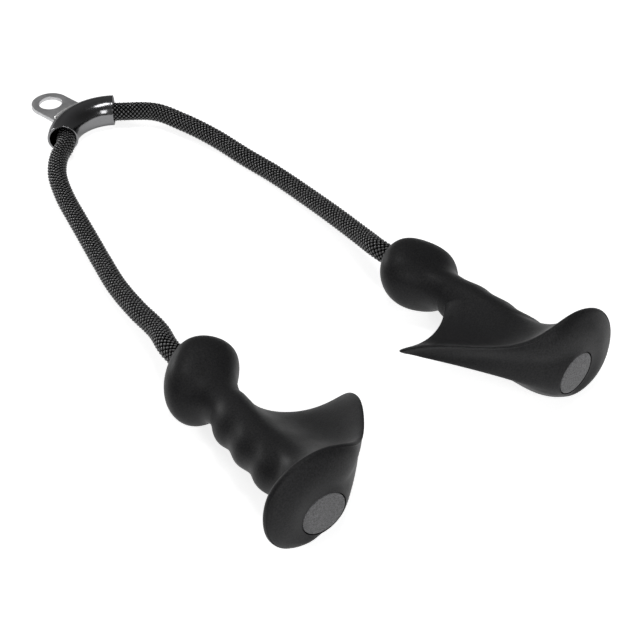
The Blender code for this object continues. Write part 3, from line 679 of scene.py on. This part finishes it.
def cage_mesh(name, rings, mirror):
    """A closed cage from rings, mirrored for the right hand."""
    body = bmesh.new()
    grid = [[body.verts.new((point.x, mirror * point.y, point.z)) for point in ring] for ring in rings]
    for low, high in zip(grid, grid[1:]):
        for column in range(COLUMNS):
            after = (column + 1) % COLUMNS
            body.faces.new((low[column], low[after], high[after], high[column]))
    body.faces.new(grid[0])
    body.faces.new(grid[-1])
    return mesh_of(body, name)


def baked(item, cutter=None):
    """The mesh that an object's modifiers make. The object and its cutter go."""
    helpers = [item] + ([cutter] if cutter else [])
    for helper in helpers:
        bpy.context.scene.collection.objects.link(helper)
    bpy.context.view_layer.update()
    graph = bpy.context.evaluated_depsgraph_get()
    mesh = bpy.data.meshes.new_from_object(item.evaluated_get(graph))
    for helper in helpers:
        bpy.data.objects.remove(helper)
    return mesh


def moulded_mesh(name, mirror):
    """The smooth handle with its bore and its cap's seat."""
    cage = bpy.data.objects.new(name, cage_mesh(name, grip_rings(), mirror))
    smooth = cage.modifiers.new("smooth", "SUBSURF")
    smooth.levels = smooth.render_levels = SMOOTH_LEVEL
    seat, floor = CAP_RADIUS + GAP, GRIP_LENGTH - CAP_THICKNESS - GAP
    end = GRIP_LENGTH + OVERRUN
    profile = [(0.0, end), (seat, end), (seat, floor), (BORE_RADIUS, floor), (BORE_RADIUS, -OVERRUN),
               (0.0, -OVERRUN)]
    cutter = bpy.data.objects.new(name + "_cutter", turned_mesh(name + "_cutter", profile, CUTTER_STEPS))
    cut = cage.modifiers.new("bore", "BOOLEAN")
    cut.object = cutter
    mesh = baked(cage, cutter)
    mesh.shade_smooth()
    mesh.set_sharp_from_angle(angle=SHARP_EDGE)
    return mesh


def handle_place(side):
    """The handle's own frame: along the swivel axis, rolled by the rope's lay."""
    entry, inwards = handle_axis(side)
    turn = Matrix.Rotation(math.atan2(inwards.y, inwards.x), 4, "Z")
    pitch = Matrix.Rotation(-math.asin(inwards.z), 4, "Y")
    return Matrix.Translation(entry) @ turn @ pitch @ Matrix.Rotation(HANDLE_ROLL, 4, "X")


for side in SIDES:
    print("the", side, "handle starts at", [round(value, 4) for value in handle_place(side).translation])

# %% [markdown]
# Soft-touch rubber is matte and nearly black. Its mould is sparked to a fine grain, which breaks every
# highlight into a soft veil, and hands polish the high places a little. The grain is a bump of a few
# hundredths of a millimetre, and the veil comes from a rough, slightly uneven gloss.

# %% Finish the handles in rubber
RUBBER, rubber_shader = new_finish("soft_rubber", (0.018, 0.018, 0.019), 0.5)
rubber_shader.inputs["Specular IOR Level"].default_value = 0.22
specks = spread(RUBBER, noise(RUBBER, 900.0))
mottle(RUBBER, rubber_shader, specks, (0.009, 0.009, 0.010), (0.025, 0.025, 0.026))
vary_gloss(RUBBER, rubber_shader, noise(RUBBER, 45.0), 0.46, 0.58)
grain = joined(RUBBER, noise(RUBBER, 1500.0, 4.0), noise(RUBBER, 700.0, 2.0), "ADD")
relief(RUBBER, rubber_shader, grain, 0.00010, 0.6)

for side, sign in SIDES.items():
    mesh = moulded_mesh("moulding_" + side, -sign)
    moulding = add_piece("moulding_" + side, mesh, RUBBER, "handle_" + side, handle_place(side))
    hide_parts("grip_" + side)
    print(moulding.name, "has", len(mesh.polygons), "faces")

# %% [markdown]
# ## The end discs
# A grey disc closes the pocket where the rope's ferrule sits. It is a separate moulding with a sparked
# face, so it has a coarser, lighter grain than the rubber, a rounded edge and a thin dark gap all round.
# Its face is bare.

# %% Turn the end discs
DISC_ROUNDING = 0.0006
DISC_GAP = 0.0004                               # shows as a thin dark line round the disc
DISC_STEPS = 96
ROUNDING_STEPS = 4


def disc_profile():
    """From the middle of the disc's face, over its rounded edge, to the middle of its back."""
    radius = CAP_RADIUS - DISC_GAP
    edge = [(0.0, GRIP_LENGTH), (radius / 2, GRIP_LENGTH)]
    for k in range(ROUNDING_STEPS + 1):
        angle = math.pi / 2 * k / ROUNDING_STEPS
        edge.append((radius - DISC_ROUNDING * (1 - math.sin(angle)),
                     GRIP_LENGTH - DISC_ROUNDING * (1 - math.cos(angle))))
    return edge + [(radius, GRIP_LENGTH - CAP_THICKNESS), (0.0, GRIP_LENGTH - CAP_THICKNESS)]


DISC, disc_shader = new_finish("disc_grey", (0.13, 0.13, 0.135), 0.55)
specks = spread(DISC, noise(DISC, 1000.0))
mottle(DISC, disc_shader, specks, (0.045, 0.045, 0.048), (0.21, 0.21, 0.215))
vary_gloss(DISC, disc_shader, noise(DISC, 500.0), 0.45, 0.65)
relief(DISC, disc_shader, noise(DISC, 1700.0), 0.00012, 0.8)

for side in SIDES:
    mesh = turned_mesh("disc_" + side, disc_profile(), DISC_STEPS)
    mesh.shade_smooth()
    mesh.set_sharp_from_angle(angle=SHARP_EDGE)
    disc = add_piece("disc_" + side, mesh, DISC, "handle_" + side, handle_place(side))
    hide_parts("end_cap_" + side)
    print(disc.name, "is", round(2000 * (CAP_RADIUS - DISC_GAP), 1), "mm across")

# %% [markdown]
# ## The bent tube
# The yoke is a length of steel tube, bent cold round a former and plated in black nickel. The surface is
# one closed skin: along the outside, round each lip and back along the inside. The lips are broken to a
# small radius so that they don't fray the rope, and that radius is what catches the light in the
# photograph.

# %% Bend the tube
BEND_ROWS = 48                                  # along half the bend
TUBE_COLUMNS = 72
LIP_ROUNDING = 0.0006
LIP_STEPS = 4


def even(start, end, count):
    """Evenly spaced numbers from one value to another."""
    return [start + (end - start) * k / (count - 1) for k in range(count)]


def wall_section():
    """Half of the wall's path, as (angle along the bend, radius of the tube): out, round and back."""
    corner = LIP_ROUNDING / BEND_RADIUS
    inner = TUBE_RADIUS - TUBE_WALL
    quarter = even(0, math.pi / 2, LIP_STEPS + 1)
    path = [(angle, TUBE_RADIUS) for angle in even(0, HALF_BEND - corner, BEND_ROWS)[:-1]]
    path += [(HALF_BEND - corner * (1 - math.sin(a)), TUBE_RADIUS - LIP_ROUNDING * (1 - math.cos(a)))
             for a in quarter]
    path += [(HALF_BEND - corner * (1 - math.cos(a)), inner + LIP_ROUNDING * (1 - math.sin(a)))
             for a in quarter]
    return path + [(angle, inner) for angle in even(HALF_BEND - corner, 0, BEND_ROWS)[1:]]


def bent_tube_mesh(name):
    """The whole tube as one closed skin."""
    half_path = wall_section()
    path = half_path + [(-angle, radius) for angle, radius in reversed(half_path)][1:-1]
    points = []
    for along, radius in path:
        for column in range(TUBE_COLUMNS):
            around = 2 * math.pi * column / TUBE_COLUMNS
            spot = bend_point(BEND_RADIUS + radius * math.cos(around), along)
            points.append((spot.x, spot.y, radius * math.sin(around)))
    mesh = bpy.data.meshes.new(name)
    mesh.from_pydata(points, [], grid_faces(len(path), TUBE_COLUMNS, looped=True))
    mesh.shade_smooth()
    return mesh


print("half of the wall's path has", len(wall_section()), "points")

# %% [markdown]
# Black nickel is a thin, smooth, dark mirror. What shows is mostly the room, so the finish stays simple: a
# dark metal, a slightly uneven gloss and the faint waves that polishing leaves.

# %% Plate the tube
EDGE_TINT = (0.45, 0.45, 0.45, 1.0)             # keeps the metal from going white where it turns away
NICKEL, nickel_shader = new_finish("black_nickel", (0.20, 0.20, 0.205), 0.16, 1.0)
nickel_shader.inputs["Specular Tint"].default_value = EDGE_TINT
mottle(NICKEL, nickel_shader, noise(NICKEL, 60.0), (0.18, 0.18, 0.185), (0.24, 0.24, 0.245))
vary_gloss(NICKEL, nickel_shader, noise(NICKEL, 350.0, 4.0), 0.13, 0.22)
relief(NICKEL, nickel_shader, noise(NICKEL, 220.0, 2.0), 0.00003, 0.5)

tube_skin = add_piece("tube_skin", bent_tube_mesh("tube_skin"), NICKEL, "yoke", YOKE_WORLD)
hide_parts("yoke_tube")
print("the tube has", len(tube_skin.data.polygons), "faces")

# %% [markdown]
# ## The tab
# The tab is a tongue of flat plate, cut to shape, with its foot hollowed to the tube and one hole for the
# carabiner. Its edges and the hole are broken by a small chamfer. A curve object does all of that at once:
# two outlines filled between, pushed out to the plate's thickness and bevelled.

# %% Cut the tab
TAB_THICKNESS = 0.0035
TAB_HOLE_RADIUS = 0.010
TAB_END_RADIUS = 0.0165
TAB_REACH = 0.0365                              # from the tube's centre line to the middle of the hole
TAB_ROOT_WIDTH = 0.035
TAB_SIDE_SHARE = 0.45                           # how far down the tongue its parallel sides run
TAB_EDGE = 0.0005
TAB_EDGE_STEPS = 3
ARC_STEPS = 64
TAB_ROOT_RADIUS = BEND_RADIUS + TUBE_RADIUS + GAP
TAB_HOLE_Y = BEND_RADIUS + TAB_REACH


def tab_outline():
    """The tongue's outline: swept sides, round end and hollow foot."""
    half_foot = math.asin(TAB_ROOT_WIDTH / 2 / TAB_ROOT_RADIUS)
    corner = bend_point(TAB_ROOT_RADIUS, half_foot)
    side_end = Vector((TAB_END_RADIUS, TAB_HOLE_Y - TAB_SIDE_SHARE * (TAB_HOLE_Y - TAB_ROOT_RADIUS), 0.0))
    bend = Vector((TAB_END_RADIUS, corner.y, 0.0))
    right = [pulled(corner, bend, side_end, share) for share in even(0, 1, ARC_STEPS // 4)]
    for angle in even(0, math.pi / 2, ARC_STEPS // 2):
        way = Vector((math.cos(angle), math.sin(angle), 0.0))
        right.append(Vector((0.0, TAB_HOLE_Y, 0.0)) + TAB_END_RADIUS * way)
    left = [Vector((-point.x, point.y, 0.0)) for point in reversed(right[:-1])]
    foot = [bend_point(TAB_ROOT_RADIUS, angle) for angle in even(-half_foot, half_foot, ARC_STEPS)]
    return right + left + foot[1:-1]


def hole_outline():
    """The hole's outline."""
    angles = [2 * math.pi * k / ARC_STEPS for k in range(ARC_STEPS)]
    return [Vector((TAB_HOLE_RADIUS * math.cos(angle), TAB_HOLE_Y + TAB_HOLE_RADIUS * math.sin(angle), 0.0))
            for angle in angles]


def plate_mesh(name, outlines):
    """A plate between outlines, with its edges broken."""
    curve = bpy.data.curves.new(name, "CURVE")
    curve.dimensions = "2D"
    curve.fill_mode = "BOTH"
    curve.bevel_depth = TAB_EDGE
    curve.bevel_resolution = TAB_EDGE_STEPS
    curve.offset = -TAB_EDGE
    curve.extrude = TAB_THICKNESS / 2 - TAB_EDGE
    for outline in outlines:
        spline = curve.splines.new("POLY")
        spline.points.add(len(outline) - 1)
        spline.use_cyclic_u = True
        for spot, point in zip(spline.points, outline):
            spot.co = (point.x, point.y, 0.0, 1.0)
    mesh = baked(bpy.data.objects.new(name, curve))
    body = bmesh.new()
    body.from_mesh(mesh)
    bmesh.ops.remove_doubles(body, verts=body.verts, dist=MERGE_DISTANCE)
    bmesh.ops.recalc_face_normals(body, faces=body.faces)
    body.to_mesh(mesh)
    body.free()
    mesh.shade_smooth()
    mesh.set_sharp_from_angle(angle=SHARP_EDGE)
    return mesh


SATIN, satin_shader = new_finish("satin_steel", (0.42, 0.42, 0.43), 0.5, 1.0)
satin_shader.inputs["Specular Tint"].default_value = EDGE_TINT
brushed = stretched(SATIN, (1.0, 0.06, 1.0))
mottle(SATIN, satin_shader, noise(SATIN, 200.0), (0.48, 0.48, 0.49), (0.72, 0.72, 0.725))
vary_gloss(SATIN, satin_shader, noise(SATIN, 1800.0, 3.0, brushed), 0.42, 0.60)
relief(SATIN, satin_shader, noise(SATIN, 2600.0, 2.0, brushed), 0.00004, 0.5)

mesh = plate_mesh("tab_plate", [tab_outline(), hole_outline()])
tab_plate = add_piece("tab_plate", mesh, SATIN, "yoke", YOKE_WORLD)
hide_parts("yoke_tab")
print("the tab is", round(1000 * (TAB_HOLE_Y + TAB_END_RADIUS - TAB_ROOT_RADIUS), 1), "mm long")

# %% [markdown]
# ## The welds
# A bead of weld fills the corner on each face of the tab. The welder lays it drop by drop, so it has a
# fine ripple of overlapping scales, curved forward in the middle. It isn't plated, so it is brighter
# than both, and its colour is set near white besides, as a painted highlight along the joint.

# %% Lay the welds
WELD_RADIUS = 0.0016
WELD_ROWS = 160
WELD_COLUMNS = 16
WELD_PITCH = 0.0015
WELD_RIPPLE = 0.07                              # of the bead's radius
WELD_END = 0.0015                               # over which the bead rises at each end
WELD_FOOT_SHARE = 0.1                           # of that, how far the rise has come at the very end
WELD_SWEEP = 0.35                               # of a ripple, how far its middle runs ahead


def weld_mesh(name, sign):
    """One bead along the tab's foot, on the upper or lower face."""
    height = TAB_THICKNESS / 2 + GAP + WELD_RADIUS
    reach = BEND_RADIUS + math.sqrt((TUBE_RADIUS + GAP + WELD_RADIUS) ** 2 - height ** 2)
    half_angle = math.asin((TAB_ROOT_WIDTH / 2 - WELD_RADIUS) / reach)
    points = []
    for row in range(WELD_ROWS):
        angle = half_angle * (2 * row / (WELD_ROWS - 1) - 1)
        to_end = reach * (half_angle - abs(angle))
        rise = math.sqrt(min(1.0, (to_end + WELD_FOOT_SHARE * WELD_END) / WELD_END))
        for column in range(WELD_COLUMNS):
            around = 2 * math.pi * column / WELD_COLUMNS
            phase = reach * angle / WELD_PITCH - WELD_SWEEP * math.cos(around)
            radius = WELD_RADIUS * rise * (1 + WELD_RIPPLE * (2 * abs(math.sin(math.pi * phase)) - 1))
            spot = bend_point(reach + radius * math.cos(around), angle)
            points.append((spot.x, spot.y, sign * (height + radius * math.sin(around))))
    mesh = bpy.data.meshes.new(name)
    mesh.from_pydata(points, [], grid_faces(WELD_ROWS, WELD_COLUMNS))
    mesh.shade_smooth()
    return mesh


# near-white colour: partly the bare steel's own tone, partly a painted highlight
BEAD, bead_shader = new_finish("weld_bead", (0.85, 0.85, 0.84), 0.45, 0.8)
mottle(BEAD, bead_shader, noise(BEAD, 500.0), (0.78, 0.78, 0.77), (0.92, 0.92, 0.91))
vary_gloss(BEAD, bead_shader, noise(BEAD, 1200.0), 0.35, 0.55)
relief(BEAD, bead_shader, noise(BEAD, 2400.0, 2.0), 0.00003, 0.5)

for name, sign in (("upper", 1), ("lower", -1)):
    bead = add_piece("bead_" + name, weld_mesh("bead_" + name, sign), BEAD, "yoke", YOKE_WORLD)
    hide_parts("weld_" + name)
    print(bead.name, "has", len(bead.data.polygons), "faces")

# %% [markdown]
# ## What the handle hides
# Inside each handle the rope's end wears a crimped sleeve that pulls on a steel washer, and the washer
# turns on the flange of the rigid tube. None of it shows, but whoever opens the part should find it
# finished. These pieces keep their CAD shapes and get materials of their own.

# %% Finish the hidden pieces
NYLON, nylon_shader = new_finish("nylon_moulding", (0.05, 0.05, 0.052), 0.45)
mottle(NYLON, nylon_shader, noise(NYLON, 300.0), (0.042, 0.042, 0.044), (0.060, 0.060, 0.062))
relief(NYLON, nylon_shader, noise(NYLON, 2000.0), 0.00004, 0.5)

ZINC, zinc_shader = new_finish("zinc_plate", (0.55, 0.55, 0.56), 0.35, 1.0)
mottle(ZINC, zinc_shader, noise(ZINC, 250.0), (0.50, 0.50, 0.51), (0.62, 0.62, 0.64))
vary_gloss(ZINC, zinc_shader, noise(ZINC, 700.0), 0.28, 0.42)

ALUMINIUM, aluminium_shader = new_finish("crimped_aluminium", (0.60, 0.60, 0.61), 0.32, 1.0)
drawn = stretched(ALUMINIUM, (0.05, 0.05, 1.0))
vary_gloss(ALUMINIUM, aluminium_shader, noise(ALUMINIUM, 2200.0, 3.0, drawn), 0.24, 0.42)
relief(ALUMINIUM, aluminium_shader, noise(ALUMINIUM, 2600.0, 2.0, drawn), 0.00003, 0.5)

for stem, material in (("liner_", NYLON), ("washer_", ZINC), ("ferrule_", ALUMINIUM)):
    for side in SIDES:
        for slot in frame["nodes"][stem + side].material_slots:
            slot.material = material
        print(stem + side, "is finished in", material.name)

# %% [markdown]
# ## The floor and the light
# The floor is plain and pale. For the camera it is almost self-lit, so it reads as white paper, but part
# of its light is real, and that part keeps the soft shadow under the piece.

# %% Lay the floor
FLOOR_SIZE = 6.0
FLOOR_GLOW = 0.80
FLOOR, floor_shader = new_finish("floor_paper", (0.80, 0.80, 0.80), 0.9)
light_path = add_node(FLOOR, "LightPath")
glow = add_node(FLOOR, "Emission", {"Color": (1.0, 1.0, 1.0, 1.0), "Strength": FLOOR_GLOW})
both = add_node(FLOOR, "AddShader")
seen = add_node(FLOOR, "MixShader")
feed(FLOOR, both.inputs[0], floor_shader.outputs["BSDF"])
feed(FLOOR, both.inputs[1], glow.outputs["Emission"])
seen_by = joined(FLOOR, light_path.outputs["Is Camera Ray"], light_path.outputs["Is Glossy Ray"], "MAXIMUM")
seen_by = joined(FLOOR, seen_by, light_path.outputs["Is Transmission Ray"], "MAXIMUM")
feed(FLOOR, seen.inputs[0], seen_by)
feed(FLOOR, seen.inputs[1], floor_shader.outputs["BSDF"])
feed(FLOOR, seen.inputs[2], both.outputs["Shader"])
feed(FLOOR, FLOOR.node_tree.nodes["Material Output"].inputs["Surface"], seen.outputs["Shader"])
floor_mesh = bpy.data.meshes.new("floor")
half = FLOOR_SIZE / 2
corners = [(-half, -half, 0.0), (half, -half, 0.0), (half, half, 0.0), (-half, half, 0.0)]
floor_mesh.from_pydata(corners, [], [(0, 1, 2, 3)])
floor = bpy.data.objects.new("floor", floor_mesh)
bpy.context.scene.collection.objects.link(floor)
set_material(floor, FLOOR)
print("floor laid")

# %% [markdown]
# Three soft boxes and a pale room light the piece. The one behind draws the bright edges, the high one
# makes the small bright patches on the tube, and the low one opens the shadows on the camera's side. The
# room itself is darker on one side, as a studio is, so smooth metal has something dark to mirror. The
# camera sees it white.

# %% Set the lights
ROOM_LIGHT = 0.20
ROOM_DARK = 0.06
DARK_WAY = (0.59, -0.49, 0.64)                  # where the studio is unlit, seen from the piece
DARK_START = 0.15                               # cosine of the angle to that way, from which it darkens


def soft_box(name, place, aim, size, power):
    """An oblong soft light that points at a spot."""
    data = bpy.data.lights.new(name, "AREA")
    data.shape = "RECTANGLE"
    data.size, data.size_y = size
    data.energy = power
    lamp = bpy.data.objects.new(name, data)
    bpy.context.scene.collection.objects.link(lamp)
    lamp.location = place
    lamp.rotation_euler = (Vector(aim) - Vector(place)).to_track_quat("-Z", "Y").to_euler()


soft_box("back", place=(-0.5, 1.80, 0.60), aim=(0, 0, 0), size=(0.6, 0.4), power=12)
soft_box("top", place=(0.145, -0.04, 1.50), aim=(0, 0.1, 0), size=(0.36, 0.50), power=5)
soft_box("front", place=(-0.255, -1.195, 0.72), aim=(0, 0.1, 0), size=(0.42, 0.6), power=4)
world = bpy.data.worlds.new("studio")
bpy.context.scene.world = world
world.use_nodes = True
way = add_node(world, "TexCoord").outputs["Generated"]
towards = add_node(world, "VectorMath", {0: way, 1: DARK_WAY}, operation="DOT_PRODUCT").outputs["Value"]
level = ramp(world, towards, DARK_START, 1.0, ROOM_LIGHT, ROOM_DARK)
level = joined(world, add_node(world, "LightPath").outputs["Is Camera Ray"], level, "MAXIMUM")
background = world.node_tree.nodes["Background"]
feed(world, background.inputs["Strength"], level)
feed(world, background.inputs["Color"], (1.0, 1.0, 1.0, 1.0))
print("lights set")
